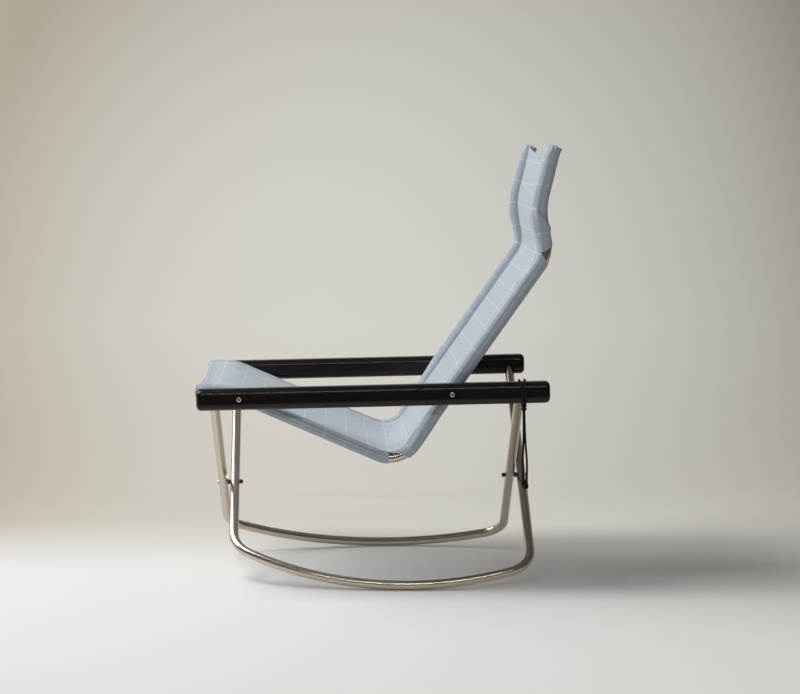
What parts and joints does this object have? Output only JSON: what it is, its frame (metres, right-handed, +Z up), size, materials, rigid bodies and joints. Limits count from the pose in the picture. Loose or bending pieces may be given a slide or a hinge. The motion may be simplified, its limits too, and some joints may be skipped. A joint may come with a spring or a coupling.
{
  "type": "folding rocking chair",
  "caption": "Folding rocking chair: crossed satin steel tube frames with rockers, black wooden arms and a light blue checked cotton sling.",
  "frame": {"origin": "centre of the chair's bounding box at floor level, open and at rest", "axes": "+Z up, +X towards the sitter's left, +Y to the rear"},
  "size_m": [0.6125, 0.711, 0.8701],
  "materials": {
    "black_stained_wood": "satin",
    "satin_steel": "satin",
    "bright_steel": "polished",
    "black_steel": "satin",
    "black_plastic": "matt",
    "checked_cotton": "matt",
    "black_cord": "matt"
  },
  "bodies": {
    "left_side": {"armrest_left": "black_stained_wood", "side_rail_left": "satin_steel", "rail_plugs_left": "black_plastic", "arm_bolts_left": "bright_steel", "rail_washers_left": "black_plastic", "rail_inserts_left": "bright_steel", "sling_sleeve_left": "checked_cotton", "arm_pivot_bolts_left": "bright_steel", "sling_panel": "checked_cotton", "cord_arm_loops": "black_cord", "cord_hitch_knot": "black_cord", "cord_strand_front": "black_cord", "cord_strand_rear": "black_cord", "cord_stopper_knot": "black_cord"},
    "left_frame": {"leg_frame_left": "satin_steel", "leg_top_plugs_left": "black_plastic", "cross_bolt_front": "bright_steel", "cross_bolt_rear": "bright_steel", "cross_cap_nuts": "black_steel", "cross_spacers": "black_plastic"},
    "right_frame": {"leg_frame_right": "satin_steel", "leg_top_plugs_right": "black_plastic"},
    "right_side": {"armrest_right": "black_stained_wood", "side_rail_right": "satin_steel", "rail_plugs_right": "black_plastic", "arm_bolts_right": "bright_steel", "rail_washers_right": "black_plastic", "rail_inserts_right": "bright_steel", "sling_sleeve_right": "checked_cotton", "arm_pivot_bolts_right": "bright_steel"}
  },
  "joints": [
    {"name": "fold", "type": "hinge", "parent": "left_side", "child": "left_frame", "pos_m": [0.285, -0.00894, 0.38997], "axis": [0, -0.9998, -0.0201], "range_deg": [0, 45], "deforming": ["sling_panel"]},
    {"name": "leg_crossing", "type": "hinge", "parent": "left_frame", "child": "right_frame", "pos_m": [0, -0.00486, 0.18635], "axis": [0, -0.9998, -0.0201], "range_deg": [-90, 0]},
    {"name": "right_arm_pivot", "type": "hinge", "parent": "right_frame", "child": "right_side", "pos_m": [-0.285, -0.00894, 0.38997], "axis": [0, -0.9998, -0.0201], "range_deg": [0, 45]}
  ],
  "couplings": [
    {"joint": "leg_crossing", "follows": "fold", "ratio": -2},
    {"joint": "right_arm_pivot", "follows": "fold", "ratio": 1}
  ]
}
